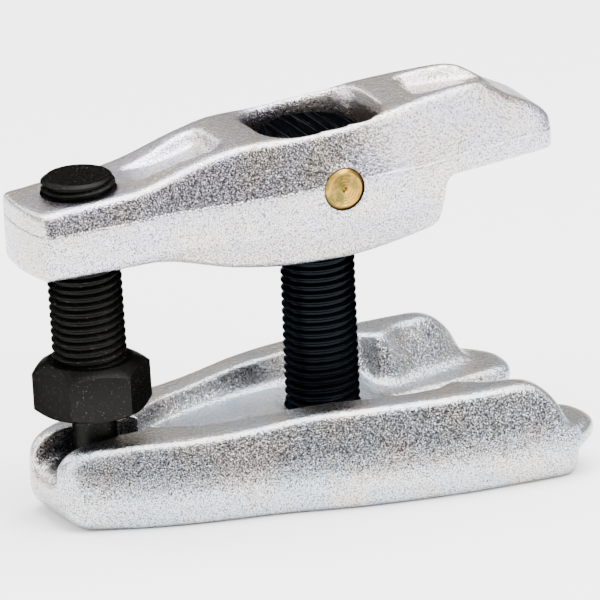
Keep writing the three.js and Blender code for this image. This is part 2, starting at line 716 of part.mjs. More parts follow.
// The pivot pin about Z, with a chamfer and a lathe centre at each end; it is laid along Y when placed.
function pivotPin() {
  const radius = PIN_DIAMETER / 2;
  const end = WAIST_HALF_WIDTH;
  return turned([
    [0, PIN_CENTRE_DEPTH - end],
    [PIN_CENTRE_DIAMETER / 2, -end],
    [radius - PIN_CHAMFER, -end],
    [radius, PIN_CHAMFER - end],
    [radius, end - PIN_CHAMFER],
    [radius - PIN_CHAMFER, end],
    [PIN_CENTRE_DIAMETER / 2, end],
    [0, end - PIN_CENTRE_DEPTH],
  ]);
}

// ---------------------------------------------------------------- materials

function plating(color, roughness, metalness) {
  return new THREE.MeshStandardMaterial({ color, roughness, metalness });
}

const zinc_upper = plating(0xc9c8c6, 0.42, 1);
const zinc_lower = plating(0xcfcfd0, 0.42, 1);
const black_oxide = plating(0x2e2b27, 0.5, 0.7);
const blued_black = plating(0x1d2022, 0.45, 0.7);
const yellow_passivate = plating(0xc9a45c, 0.35, 1);

// ---------------------------------------------------------------- assembly

const tool = new THREE.Group();
const upper_frame = new THREE.Group();
upper_frame.position.set(0, 0, PIVOT_HEIGHT);
upper_frame.rotation.y = tilt;
tool.add(upper_frame);

upper_frame.add(meshFrom("upper_arm", upperArm(), zinc_upper));

const spindle = meshFrom("forcing_spindle", forcingSpindle(), black_oxide);
spindle.position.x = -SPINDLE_REACH;
upper_frame.add(spindle);

tool.add(meshFrom("lower_arm", lowerArm(), zinc_lower));
tool.add(meshFrom("centre_stud", centreStud(), blued_black));

const pin = meshFrom("pivot_pin", pivotPin(), yellow_passivate);
pin.rotation.x = Math.PI / 2;
pin.position.z = PIVOT_HEIGHT;
tool.add(pin);

const middle = new THREE.Box3().setFromObject(tool).getCenter(new THREE.Vector3());
tool.position.x = -middle.x;

export default tool;
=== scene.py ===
"""Looks of a ball joint separator.

It has two zinc plated forgings, a black forcing spindle, a blued stud and a gold pin. Lengths are metres in
the CAD row frame. Sizes are written in millimetres and turned into metres by MM.
"""

from __future__ import annotations

import json
import logging
import math
from dataclasses import dataclass, field
from enum import Enum
from typing import Sequence

import bpy
from mathutils import Matrix, Vector

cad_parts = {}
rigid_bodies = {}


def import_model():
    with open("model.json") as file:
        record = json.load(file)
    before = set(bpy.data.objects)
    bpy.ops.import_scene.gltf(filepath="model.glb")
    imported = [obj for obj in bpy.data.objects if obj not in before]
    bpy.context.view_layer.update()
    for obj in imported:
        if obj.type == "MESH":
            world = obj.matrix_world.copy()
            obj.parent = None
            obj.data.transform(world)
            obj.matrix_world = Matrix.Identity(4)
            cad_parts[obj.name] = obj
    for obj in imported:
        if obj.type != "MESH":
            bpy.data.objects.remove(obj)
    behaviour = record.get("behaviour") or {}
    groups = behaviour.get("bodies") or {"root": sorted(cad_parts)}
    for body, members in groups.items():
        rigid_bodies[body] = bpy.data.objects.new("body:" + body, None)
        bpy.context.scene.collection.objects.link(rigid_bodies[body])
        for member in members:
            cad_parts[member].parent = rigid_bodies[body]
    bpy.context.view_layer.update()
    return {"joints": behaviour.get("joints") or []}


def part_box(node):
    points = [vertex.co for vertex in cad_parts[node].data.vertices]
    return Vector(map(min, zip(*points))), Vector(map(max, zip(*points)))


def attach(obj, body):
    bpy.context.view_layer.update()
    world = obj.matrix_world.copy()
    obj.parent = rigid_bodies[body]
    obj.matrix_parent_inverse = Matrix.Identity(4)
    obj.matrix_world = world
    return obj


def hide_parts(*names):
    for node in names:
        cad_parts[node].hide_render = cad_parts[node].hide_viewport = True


LOG = logging.getLogger("separator")
MM = 0.001
THREAD_DEPTH_SHARE = 0.6134  # depth of a metric thread over its pitch
SPOT_EDGE = 2.5  # how steeply a soft spot sets in from its edge


class Body(str, Enum):
    """Moving bodies of the tool."""

    LOWER_ARM = "lower_arm"
    STUD = "stud"
    UPPER_ARM = "upper_arm"
    SPINDLE = "spindle"


class Slot(str, Enum):
    """Material slots that the record lists."""

    ZINC = "zinc_forging"
    BLACK = "black_oxide"
    BLUED = "blued_steel"
    GOLD = "yellow_passivate"


# ---------------------------------------------------------------- small helpers


def linear(colour: str) -> tuple[float, float, float, float]:
    """Turns an sRGB hex colour into linear light.

    Args:
        colour: Six hex digits after a hash.

    Returns:
        Red, green, blue and alpha for a colour socket.
    """
    channels = [int(colour[i : i + 2], 16) / 255 for i in (1, 3, 5)]
    red, green, blue = (c / 12.92 if c <= 0.04045 else ((c + 0.055) / 1.055) ** 2.4 for c in channels)
    return red, green, blue, 1.0


def add_node(
    tree: bpy.types.NodeTree, kind: str, links: dict | None = None, **settings: object
) -> bpy.types.Node:
    """Adds one shader node.

    Args:
        tree: Node tree to add it to.
        kind: Blender's type name of the node.
        links: For each input, by name or number, the output that feeds it or its constant value.
        **settings: Properties of the node itself.

    Returns:
        The new node.
    """
    node = tree.nodes.new(kind)
    for name, value in settings.items():
        setattr(node, name, value)
    for socket, source in (links or {}).items():
        if isinstance(source, bpy.types.NodeSocket):
            tree.links.new(source, node.inputs[socket])
        else:
            node.inputs[socket].default_value = source
    return node


def activate(piece: bpy.types.Object) -> None:
    """Makes a piece the only selected object and the active one.

    Args:
        piece: The object to work on.
    """
    for other in bpy.context.view_layer.objects:
        other.select_set(False)
    piece.select_set(True)
    bpy.context.view_layer.objects.active = piece


def apply_modifier(piece: bpy.types.Object, kind: str, **settings: object) -> None:
    """Adds a modifier and bakes it into the mesh.

    Args:
        piece: The object to change.
        kind: Blender's type name of the modifier.
        **settings: Properties of the modifier.
    """
    activate(piece)
    modifier = piece.modifiers.new(kind.lower(), kind)
    for name, value in settings.items():
        setattr(modifier, name, value)
    bpy.ops.object.modifier_apply(modifier=modifier.name)


def combine(piece: bpy.types.Object, tool: bpy.types.Object, operation: str) -> None:
    """Joins, cuts or crops a piece with another, which is used up.

    Args:
        piece: The object to keep.
        tool: The closed object to combine it with.
        operation: UNION, DIFFERENCE or INTERSECT.
    """
    apply_modifier(piece, "BOOLEAN", operation=operation, solver="EXACT", object=tool)
    bpy.data.objects.remove(tool)


def join(piece: bpy.types.Object, *others: bpy.types.Object) -> None:
    """Puts other closed shells into a piece's mesh.

    Args:
        piece: The object to keep.
        *others: The objects to take in, which are used up.
    """
    activate(piece)
    for other in others:
        other.select_set(True)
    bpy.ops.object.join()


def clean(piece: bpy.types.Object, distance: float = 1e-6) -> None:
    """Merges doubled vertices and turns the faces outward.

    Args:
        piece: The object to clean.
        distance: Vertices nearer than this become one.
    """
    activate(piece)
    bpy.ops.object.mode_set(mode="EDIT")
    bpy.ops.mesh.select_all(action="SELECT")
    bpy.ops.mesh.remove_doubles(threshold=distance)
    bpy.ops.mesh.normals_make_consistent(inside=False)
    bpy.ops.object.mode_set(mode="OBJECT")


def smooth(piece: bpy.types.Object, angle: float) -> None:
    """Shades a piece smooth, with creases where faces meet at more than an angle.

    Args:
        piece: The object to shade.
        angle: The least crease, in degrees.
    """
    activate(piece)
    bpy.ops.object.shade_smooth_by_angle(angle=math.radians(angle))


def place(piece: bpy.types.Object, where: Matrix) -> None:
    """Moves a piece and puts the move into its vertices.

    Args:
        piece: An object at the origin.
        where: The move to make.
    """
    piece.matrix_world = where @ piece.matrix_world
    activate(piece)
    bpy.ops.object.transform_apply(location=True, rotation=True, scale=True)


def outline(name: str, points: Sequence[tuple[float, float]]) -> bpy.types.Object:
    """Draws an open line in the XZ plane by extruding one vertex along it.

    Args:
        name: Name of the new object.
        points: Radius and height of each point, in mm.

    Returns:
        The line as an object at the origin.
    """
    radius, height = points[0]
    bpy.ops.mesh.primitive_plane_add(size=MM)
    line = bpy.context.object
    line.name = name
    bpy.ops.object.mode_set(mode="EDIT")
    bpy.ops.mesh.select_all(action="SELECT")
    bpy.ops.mesh.merge(type="CENTER")
    bpy.ops.transform.translate(value=(radius * MM, 0, height * MM))
    for after in points[1:]:
        step = ((after[0] - radius) * MM, 0, (after[1] - height) * MM)
        bpy.ops.mesh.extrude_region_move(TRANSFORM_OT_translate={"value": step})
        radius, height = after
    bpy.ops.object.mode_set(mode="OBJECT")
    return line


def turned(name: str, points: Sequence[tuple[float, float]], steps: int = 96) -> bpy.types.Object:
    """Turns a profile about Z, as on a lathe.

    Args:
        name: Name of the new object.
        points: Radius and height of each corner in mm, from axis to axis.
        steps: Facets round the axis.

    Returns:
        A closed object at the origin.
    """
    piece = outline(name, points)
    apply_modifier(
        piece,
        "SCREW",
        angle=2 * math.pi,
        steps=steps,
        render_steps=steps,
        use_merge_vertices=True,
        merge_threshold=1e-6,
    )
    clean(piece)
    return piece


# ---------------------------------------------------------------- finishes


@dataclass(frozen=True)
class Finish:
    """A surface finish: one named material made of procedural nodes."""

    name: str

    def material(self) -> bpy.types.Material:
        """Gives the material, making it the first time.

        Returns:
            The material of this finish.
        """
        known = bpy.data.materials.get(self.name)
        if known:
            return known
        made = bpy.data.materials.new(self.name)
        made.use_nodes = True
        tree = made.node_tree
        shader = tree.nodes["Principled BSDF"]
        place_of = add_node(tree, "ShaderNodeTexCoord").outputs["Object"]
        self.paint(tree, shader, place_of)
        return made

    def paint(self, tree: bpy.types.NodeTree, shader: bpy.types.Node, where: bpy.types.NodeSocket) -> None:
        """Adds this finish's nodes.

        Args:
            tree: Node tree of the material.
            shader: Its Principled shader.
            where: Object coordinates in metres.
        """
        raise NotImplementedError


@dataclass(frozen=True)
class ZincPlate(Finish):
    """Bright zinc over a shot-blasted forging.

    It gives a silvery, salt and pepper grain with a faint lilac and cream bloom. It is darkest on the upper
    die's flanks, where the grain is pushed towards its dull colour as painted shade, standing in for the
    darker reflections that those faces catch. Grain, dimples, patches and depth are mm, and the grain is
    drawn coarser than real blasting so that it shows. Pepper is the stretch of the grain's noise that turns
    from dull to bright, painted_shade_strength how far the painted shade on the flanks shifts it, and shine
    the roughness of pits and tops. The parting line's height and wander are mm and its tilt is degrees.
    painted_shade_band, in mm, is half the height of the band about the line across which the painted shade
    sets in. Flash is the trimmed flash's height over the grain's. The painted shade on the flanks fades out
    towards +X from painted_shade_from, over painted_shade_over, both mm.
    """

    bright: str = "#ebeaec"
    dull: str = "#302f31"
    lilac: str = "#e9e8f4"
    cream: str = "#f3ece0"
    grain: float = 0.34
    dimple: float = 1.1
    patch: float = 17.0
    depth: float = 0.1
    pepper: tuple[float, float] = (0.37, 0.54)
    shine: tuple[float, float] = (0.36, 0.18)
    painted_shade_strength: float = 0.12
    parting: float = 9.5
    wander: float = 2.2
    tilt: float = 0.0
    flash: float = 2.4
    flash_width: float = 0.55
    painted_shade_band: float = 0.5
    painted_shade_from: float = 200.0
    painted_shade_over: float = 16.0

    def paint(self, tree: bpy.types.NodeTree, shader: bpy.types.Node, where: bpy.types.NodeSocket) -> None:
        """Adds the zinc's nodes.

        Args:
            tree: Node tree of the material.
            shader: Its Principled shader.
            where: Object coordinates in metres.
        """
        grain = add_node(
            tree,
            "ShaderNodeTexNoise",
            {"Vector": where, "Scale": 1 / (self.grain * MM), "Detail": 4.0, "Roughness": 0.68},
        ).outputs["Fac"]
        patches = add_node(
            tree,
            "ShaderNodeTexNoise",
            {"Vector": where, "Scale": 1 / (self.patch * MM), "Detail": 4.0, "Roughness": 0.6},
        ).outputs["Fac"]
        over = self.height_over_parting(tree, where, patches)
        # Painted shade: on the upper flanks the grain is pushed towards its dull colour, in place of darker
        # reflections.
        shaded = add_node(
            tree,
            "ShaderNodeMath",
            {0: self.painted_flank_shade(tree, where, over), 1: -self.painted_shade_strength, 2: grain},
            operation="MULTIPLY_ADD",
        ).outputs[0]
        dull, bright = self.pepper
        pepper = add_node(
            tree, "ShaderNodeMapRange", {"Value": shaded, "From Min": dull, "From Max": bright}
        ).outputs[0]
        tree.links.new(self.tint(tree, pepper, patches), shader.inputs["Base Color"])
        rough = add_node(
            tree, "ShaderNodeMapRange", {"Value": pepper, "To Min": self.shine[0], "To Max": self.shine[1]}
        ).outputs[0]
        tree.links.new(rough, shader.inputs["Roughness"])
        shader.inputs["Metallic"].default_value = 1.0
        tree.links.new(self.relief(tree, where, grain, over), shader.inputs["Normal"])

    def tint(
        self, tree: bpy.types.NodeTree, pepper: bpy.types.NodeSocket, patches: bpy.types.NodeSocket
    ) -> bpy.types.NodeSocket:
        """Adds the colour of the grain and the bloom over it.

        Args:
            tree: Node tree of the material.
            pepper: 0 in the grain's dull pits and 1 on its bright tops.
            patches: A slow noise that the bloom follows.

        Returns:
            The colour.
        """
        metal = add_node(
            tree,
            "ShaderNodeMix",
            {"Factor": pepper, 6: linear(self.dull), 7: linear(self.bright)},
            data_type="RGBA",
        ).outputs[2]
        warmth = add_node(
            tree, "ShaderNodeMapRange", {"Value": patches, "From Min": 0.4, "From Max": 0.62}
        ).outputs[0]
        bloom = add_node(
            tree,
            "ShaderNodeMix",
            {"Factor": warmth, 6: linear(self.lilac), 7: linear(self.cream)},
            data_type="RGBA",
        ).outputs[2]
        return add_node(
            tree,
            "ShaderNodeMix",
            {"Factor": 1.0, 6: metal, 7: bloom},
            data_type="RGBA",
            blend_type="MULTIPLY",
        ).outputs[2]

    def relief(
        self,
        tree: bpy.types.NodeTree,
        where: bpy.types.NodeSocket,
        grain: bpy.types.NodeSocket,
        over: bpy.types.NodeSocket,
    ) -> bpy.types.NodeSocket:
        """Adds the bumps of the grain, the dimples and the trimmed flash.

        Args:
            tree: Node tree of the material.
            where: Object coordinates in metres.
            grain: The grain's noise.
            over: Metres above the parting line.

        Returns:
            The bumped normal.
        """
        dimples = add_node(
            tree,
            "ShaderNodeTexVoronoi",
            {"Vector": where, "Scale": 1 / (self.dimple * MM), "Smoothness": 0.6},
            feature="SMOOTH_F1",
        ).outputs["Distance"]
        height = add_node(tree, "ShaderNodeMath", {0: grain, 1: dimples}, operation="ADD").outputs[0]
        total = add_node(
            tree,
            "ShaderNodeMath",
            {0: self.ridge(tree, over), 1: self.flash, 2: height},
            operation="MULTIPLY_ADD",
        ).outputs[0]
        bump = add_node(
            tree, "ShaderNodeBump", {"Height": total, "Distance": self.depth * MM, "Strength": 1.0}
        )
        return bump.outputs["Normal"]

    def height_over_parting(
        self, tree: bpy.types.NodeTree, where: bpy.types.NodeSocket, wander: bpy.types.NodeSocket
    ) -> bpy.types.NodeSocket:
        """Adds the height over the parting line.

        Args:
            tree: Node tree of the material.
            where: Object coordinates in metres.
            wander: A slow noise that the line strays with.

        Returns:
            Metres above the line.
        """
        axes = add_node(tree, "ShaderNodeSeparateXYZ", {0: where})
        slope = add_node(
            tree,
            "ShaderNodeMath",
            {0: axes.outputs["X"], 1: math.tan(math.radians(self.tilt)), 2: axes.outputs["Z"]},
            operation="MULTIPLY_ADD",
        ).outputs[0]
        level = add_node(
            tree,
            "ShaderNodeMath",
            {0: wander, 1: self.wander * MM, 2: -(self.parting + self.wander / 2) * MM},
            operation="MULTIPLY_ADD",
        ).outputs[0]
        return add_node(tree, "ShaderNodeMath", {0: slope, 1: level}, operation="ADD").outputs[0]

    def painted_flank_shade(
        self, tree: bpy.types.NodeTree, where: bpy.types.NodeSocket, over: bpy.types.NodeSocket
    ) -> bpy.types.NodeSocket:
        """Adds the share of painted shade on the upper die's flanks: darker grain that stands in for the
        darker reflections there.

        Args:
            tree: Node tree of the material.
            where: Object coordinates in metres.
            over: Metres above the parting line.

        Returns:
            1 on the upper flanks and 0 on tops, ends and lower flanks.
        """
        facing = add_node(tree, "ShaderNodeTexCoord").outputs["Normal"]
        sideways = add_node(tree, "ShaderNodeSeparateXYZ", {0: facing}).outputs["Y"]
        flank = add_node(tree, "ShaderNodeMath", {0: sideways}, operation="ABSOLUTE").outputs[0]
        share = add_node(
            tree, "ShaderNodeMapRange", {"Value": flank, "From Min": 0.72, "From Max": 0.95}
        ).outputs[0]
        above = add_node(
            tree,
            "ShaderNodeMapRange",
            {"Value": over, "From Min": -self.painted_shade_band * MM, "From Max": self.painted_shade_band * MM},
        ).outputs[0]
        # The painted shade on the flanks fades out towards +X.
        along = add_node(
            tree,
            "ShaderNodeMapRange",
            {
                "Value": add_node(tree, "ShaderNodeSeparateXYZ", {0: where}).outputs["X"],
                "From Min": self.painted_shade_from * MM,
                "From Max": (self.painted_shade_from + self.painted_shade_over) * MM,
                "To Min": 1.0,
                "To Max": 0.0,
            },
        ).outputs[0]
        upper = add_node(tree, "ShaderNodeMath", {0: share, 1: above}, operation="MULTIPLY").outputs[0]
        return add_node(tree, "ShaderNodeMath", {0: upper, 1: along}, operation="MULTIPLY").outputs[0]

    def ridge(self, tree: bpy.types.NodeTree, over: bpy.types.NodeSocket) -> bpy.types.NodeSocket:
        """Adds the height of the trimmed flash.

        Args:
            tree: Node tree of the material.
            over: Metres above the parting line.

        Returns:
            A height that is 1 on the line and 0 away from it.
        """
        away = add_node(tree, "ShaderNodeMath", {0: over}, operation="ABSOLUTE").outputs[0]
        return add_node(
            tree,
            "ShaderNodeMapRange",
            {"Value": away, "From Min": 0.0, "From Max": self.flash_width * MM, "To Min": 1.0, "To Max": 0.0},
            interpolation_type="SMOOTHSTEP",
        ).outputs[0]


@dataclass(frozen=True)
class DarkSteel(Finish):
    """Oxide over machined steel: nearly black, with paler specks where it is rubbed.

    Speck is mm. Wear is the level of noise from which the steel shows, and edge the tint at grazing angles.
    """

    base: str = "#1a1a19"
    worn: str = "#5e5b57"
    edge: str = "#a0a0a0"
    speck: float = 0.5
    wear: float = 0.62
    wear_band: float = 0.08
    roughness: float = 0.42
    pitting: float = 0.03

    def paint(self, tree: bpy.types.NodeTree, shader: bpy.types.Node, where: bpy.types.NodeSocket) -> None:
        """Adds the oxide's nodes.

        Args:
            tree: Node tree of the material.
            shader: Its Principled shader.
            where: Object coordinates in metres.
        """
        specks = add_node(
            tree,
            "ShaderNodeTexNoise",
            {"Vector": where, "Scale": 1 / (self.speck * MM), "Detail": 4.0, "Roughness": 0.7},
        ).outputs["Fac"]
        rubbed = add_node(
            tree,
            "ShaderNodeMapRange",
            {"Value": specks, "From Min": self.wear, "From Max": self.wear + self.wear_band},
        ).outputs[0]
        colour = add_node(
            tree,
            "ShaderNodeMix",
            {"Factor": rubbed, 6: linear(self.base), 7: linear(self.worn)},
            data_type="RGBA",
        ).outputs[2]
        tree.links.new(colour, shader.inputs["Base Color"])
        shader.inputs["Metallic"].default_value = 1.0
        shader.inputs["Specular Tint"].default_value = linear(self.edge)
        rough = add_node(
            tree,
            "ShaderNodeMapRange",
            {"Value": specks, "To Min": self.roughness - 0.1, "To Max": self.roughness + 0.16},
        ).outputs[0]
        tree.links.new(rough, shader.inputs["Roughness"])
        bump = add_node(
            tree, "ShaderNodeBump", {"Height": specks, "Distance": self.pitting * MM, "Strength": 1.0}
        )
        tree.links.new(bump.outputs["Normal"], shader.inputs["Normal"])


@dataclass(frozen=True)
class SawnSteel(Finish):
    """Sawn end of the blued stud: straight saw lines across the arm that glint where they are fresh.

    Pitch and depth of the lines are mm, and the pitch is drawn coarser than a saw's so that it shows.
    """

    base: str = "#15171a"
    fresh: str = "#565a5e"
    edge: str = "#999999"
    pitch: float = 1.1
    depth: float = 0.06

    def paint(self, tree: bpy.types.NodeTree, shader: bpy.types.Node, where: bpy.types.NodeSocket) -> None:
        """Adds the saw lines' nodes.

        Args:
            tree: Node tree of the material.
            shader: Its Principled shader.
            where: Object coordinates in metres.
        """
        stretched = add_node(
            tree, "ShaderNodeVectorMath", {0: where, 1: (1.0, 0.03, 0.0)}, operation="MULTIPLY"
        ).outputs[0]
        lines = add_node(
            tree,
            "ShaderNodeTexNoise",
            {"Vector": stretched, "Scale": 1 / (self.pitch * MM), "Detail": 4.0, "Roughness": 0.75},
        ).outputs["Fac"]
        glint = add_node(
            tree, "ShaderNodeMapRange", {"Value": lines, "From Min": 0.5, "From Max": 0.72}
        ).outputs[0]
        colour = add_node(
            tree,
            "ShaderNodeMix",
            {"Factor": glint, 6: linear(self.base), 7: linear(self.fresh)},
            data_type="RGBA",
        ).outputs[2]
        tree.links.new(colour, shader.inputs["Base Color"])
        shader.inputs["Metallic"].default_value = 1.0
        shader.inputs["Specular Tint"].default_value = linear(self.edge)
        shader.inputs["Roughness"].default_value = 0.3
        bump = add_node(
            tree, "ShaderNodeBump", {"Height": lines, "Distance": self.depth * MM, "Strength": 1.0}
        )
        tree.links.new(bump.outputs["Normal"], shader.inputs["Normal"])


@dataclass(frozen=True)
class GoldPassivate(Finish):
    """Yellow passivated zinc on a turned pin: warm gold that drifts to olive in clouds, whose size is mm."""

    gold: str = "#b98a3a"
    drift: str = "#6a6130"
    cloud: float = 2.4

    def paint(self, tree: bpy.types.NodeTree, shader: bpy.types.Node, where: bpy.types.NodeSocket) -> None:
        """Adds the passivated zinc's nodes.

        Args:
            tree: Node tree of the material.
            shader: Its Principled shader.
            where: Object coordinates in metres.
        """
        cloud = add_node(
            tree,
            "ShaderNodeTexNoise",
            {"Vector": where, "Scale": 1 / (self.cloud * MM), "Detail": 3.0, "Roughness": 0.6},
        ).outputs["Fac"]
        share = add_node(
            tree, "ShaderNodeMapRange", {"Value": cloud, "From Min": 0.38, "From Max": 0.62}
        ).outputs[0]
        colour = add_node(
            tree,
            "ShaderNodeMix",
            {"Factor": share, 6: linear(self.gold), 7: linear(self.drift)},
            data_type="RGBA",
        ).outputs[2]
        tree.links.new(colour, shader.inputs["Base Color"])
        shader.inputs["Metallic"].default_value = 1.0
        rough = add_node(
            tree, "ShaderNodeMapRange", {"Value": cloud, "To Min": 0.22, "To Max": 0.42}
        ).outputs[0]
        tree.links.new(rough, shader.inputs["Roughness"])


@dataclass(frozen=True)
class PaleFloor(Finish):
    """Plain white studio floor with a faint, even mottle."""

    shade: str = "#fdfdfd"

    def paint(self, tree: bpy.types.NodeTree, shader: bpy.types.Node, where: bpy.types.NodeSocket) -> None:
        """Adds the floor's nodes.

        Args:
            tree: Node tree of the material.
            shader: Its Principled shader.
            where: Object coordinates in metres.
        """
        mottle = add_node(tree, "ShaderNodeTexNoise", {"Vector": where, "Scale": 9.0}).outputs["Fac"]
        rough = add_node(
            tree, "ShaderNodeMapRange", {"Value": mottle, "To Min": 0.7, "To Max": 0.8}
        ).outputs[0]
        tree.links.new(rough, shader.inputs["Roughness"])
        shader.inputs["Base Color"].default_value = linear(self.shade)


# ---------------------------------------------------------------- where things are


@dataclass(frozen=True)
class Layout:
    """Places that the pieces share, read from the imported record."""

    pivot: Vector
    down: Vector

    @classmethod
    def from_joints(cls, joints: Sequence[dict]) -> "Layout":
        """Reads the pivot and the spindle's direction.

        Args:
            joints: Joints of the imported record.

        Returns:
            The layout.
        """
        named = {joint["name"]: joint for joint in joints}
        return cls(Vector(named["arm_pivot"]["pos_m"]), Vector(named["spindle_advance"]["axis"]))

    @property
    def tilt(self) -> float:
        """Degrees that the upper arm is turned about +Y."""
        return -math.degrees(math.atan2(self.down.x, -self.down.z))

    @property
    def upper(self) -> Matrix:
        """The upper arm's frame, with its origin on the pivot."""
        return Matrix.Translation(self.pivot) @ Matrix.Rotation(math.radians(self.tilt), 4, "Y")

    @property
    def stud(self) -> Matrix:
        """The stud's frame, with its origin on the pivot and Z along its axis."""
        return Matrix.Translation(self.pivot)


# ---------------------------------------------------------------- sub-assemblies


@dataclass(frozen=True)
class Thread:
    """An external metric thread with slightly worn crests.

    The nominal diameter, the pitch and the crests' wear are mm, and steps are facets to a turn.
    """

    diameter: float = 18.0
    pitch: float = 2.0
    worn: float = 0.12
    steps: int = 84

    def build(self, name: str, low: float, high: float) -> bpy.types.Object:
        """Winds one pitch of the thread's profile up the axis and squares off both ends.

        Args:
            name: Name of the new object.
            low: Height of its lower end, in mm.
            high: Height of its upper end, in mm.

        Returns:
            A closed threaded rod about the Z axis.
        """
        crest = self.diameter / 2
        flank = crest - self.worn
        root = crest - THREAD_DEPTH_SHARE * self.pitch
        start = low - 2 * self.pitch
        turns = math.ceil((high - start) / self.pitch) + 2
        rise = [(0, root), (0.12, root), (0.4, flank), (0.44, crest)]
        shape = rise + [(0.56, crest), (0.6, flank), (0.88, root), (1, root)]
        rod = outline(name, [(radius, start + share * self.pitch) for share, radius in shape])
        apply_modifier(
            rod,
            "SCREW",
            angle=2 * math.pi,
            screw_offset=self.pitch * MM,
            iterations=turns,
            steps=self.steps,
            render_steps=self.steps,
            use_merge_vertices=True,
            merge_threshold=1e-6,
        )
        for height, above in ((low, False), (high, True)):
            activate(rod)
            bpy.ops.object.mode_set(mode="EDIT")
            bpy.ops.mesh.select_all(action="SELECT")
            bpy.ops.mesh.remove_doubles(threshold=1e-6)
            bpy.ops.mesh.bisect(
                plane_co=(0, 0, height * MM),
                plane_no=(0, 0, 1),
                use_fill=True,
                clear_inner=not above,
                clear_outer=above,
                threshold=1e-8,
            )
            bpy.ops.object.mode_set(mode="OBJECT")
        clean(rod)
        return rod


@dataclass(frozen=True)
class Hole:
    """A machined hole, kept crisp while the forging round it is softened.

    Diameter is mm, where is the hole's own frame with Z along it, and each span is the stretch of metal that
    it runs through, in mm along it. Plug is how much wider than the hole its plug is, and run_out how far the
    drill runs past the metal, both mm.
    """

    diameter: float
    where: Matrix
    spans: tuple[tuple[float, float], ...]
    plug: float = 0.3
    run_out: float = 6.0

    def cylinder(self, diameter: float, low: float, high: float) -> bpy.types.Object:
        """Makes a cylinder along the hole.

        Args:
            diameter: Its diameter in mm.
            low: Where it starts, in mm.
            high: Where it ends, in mm.

        Returns:
            A closed cylinder in the row frame.
        """
        bpy.ops.mesh.primitive_cylinder_add(vertices=96, radius=diameter / 2 * MM, depth=(high - low) * MM)
        piece = bpy.context.object
        place(piece, self.where @ Matrix.Translation((0, 0, (low + high) / 2 * MM)))
        return piece

    def fill(self, forging: bpy.types.Object) -> None:
        """Plugs the hole before the forging is softened.

        Args:
            forging: The forging that it is in.
        """
        for low, high in self.spans:
            combine(forging, self.cylinder(self.diameter + self.plug, low, high), "UNION")

    def drill(self, forging: bpy.types.Object) -> None:
        """Cuts the hole again.

        Args:
            forging: The softened forging.
        """
        for low, high in self.spans:
            drill = self.cylinder(self.diameter, low - self.run_out, high + self.run_out)
            combine(forging, drill, "DIFFERENCE")


@dataclass(frozen=True)
class SoftSpot:
    """A place that the forging die rounds more than the rest.

    It is everything within reach of the centre, which is in the row frame. The reach along each axis is mm.
    """

    centre: Vector
    reach: tuple[float, float, float]
    rounds: int

    def relax(self, forging: bpy.types.Object) -> None:
        """Smooths the vertices near the spot, less towards its edge.

        Args:
            forging: The forging that it is on.
        """
        group = forging.vertex_groups.new(name="soft_spot")
        for vertex in forging.data.vertices:
            off = vertex.co - self.centre
            away = max(abs(off[i]) / (self.reach[i] * MM) for i in range(3))
            if away < 1:
                group.add([vertex.index], min(1.0, SPOT_EDGE * (1 - away)), "REPLACE")
        apply_modifier(forging, "SMOOTH", factor=0.5, iterations=self.rounds, vertex_group=group.name)
        forging.vertex_groups.clear()


@dataclass
class Forging:
    """A zinc plated arm: the CAD solid softened to a forging's radii, with its holes machined afterwards.
    """

    layout: Layout
    node: str = ""
    body: Body = Body.LOWER_ARM
    name: str = ""
    voxel: float = 0.55
    quick_voxel: float = 1.8
    rounds: int = 18
    crease: float = 50.0

    def finish(self) -> ZincPlate:
        """Gives the arm's plating."""
        raise NotImplementedError

    def holes(self) -> Sequence[Hole]:
        """Gives the arm's machined holes."""
        raise NotImplementedError

    def spots(self) -> Sequence[SoftSpot]:
        """Gives the places where the arm is rounded more."""
        raise NotImplementedError

    def build(self) -> bpy.types.Object:
        """Copies the CAD solid, remeshes it finely, relaxes its edges and drills its holes.

        Returns:
            The finished forging.
        """
        source = bpy.data.objects[self.node]
        piece = source.copy()
        piece.data = source.data.copy()
        for key in list(piece.keys()):
            del piece[key]
        piece.parent = None
        piece.matrix_world = Matrix.Identity(4)
        piece.name = self.name
        piece.data.name = self.name
        piece.data.materials.clear()
        bpy.context.scene.collection.objects.link(piece)
        clean(piece, 1e-5)
        for hole in self.holes():
            hole.fill(piece)
        voxel = self.voxel * 1
        apply_modifier(piece, "REMESH", mode="VOXEL", voxel_size=voxel * MM, adaptivity=0.0)
        apply_modifier(piece, "SMOOTH", factor=0.5, iterations=self.rounds)
        for spot in self.spots():
            spot.relax(piece)
        for hole in self.holes():
            hole.drill(piece)
        smooth(piece, self.crease)
        return piece

    def dress(self, piece: bpy.types.Object) -> None:
        """Gives the forging its finish and its place in the frame.

        Args:
            piece: The softened forging.
        """
        piece.data.materials.clear()
        piece.data.materials.append(self.finish().material())
        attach(piece, self.body.value)
        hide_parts(self.node)


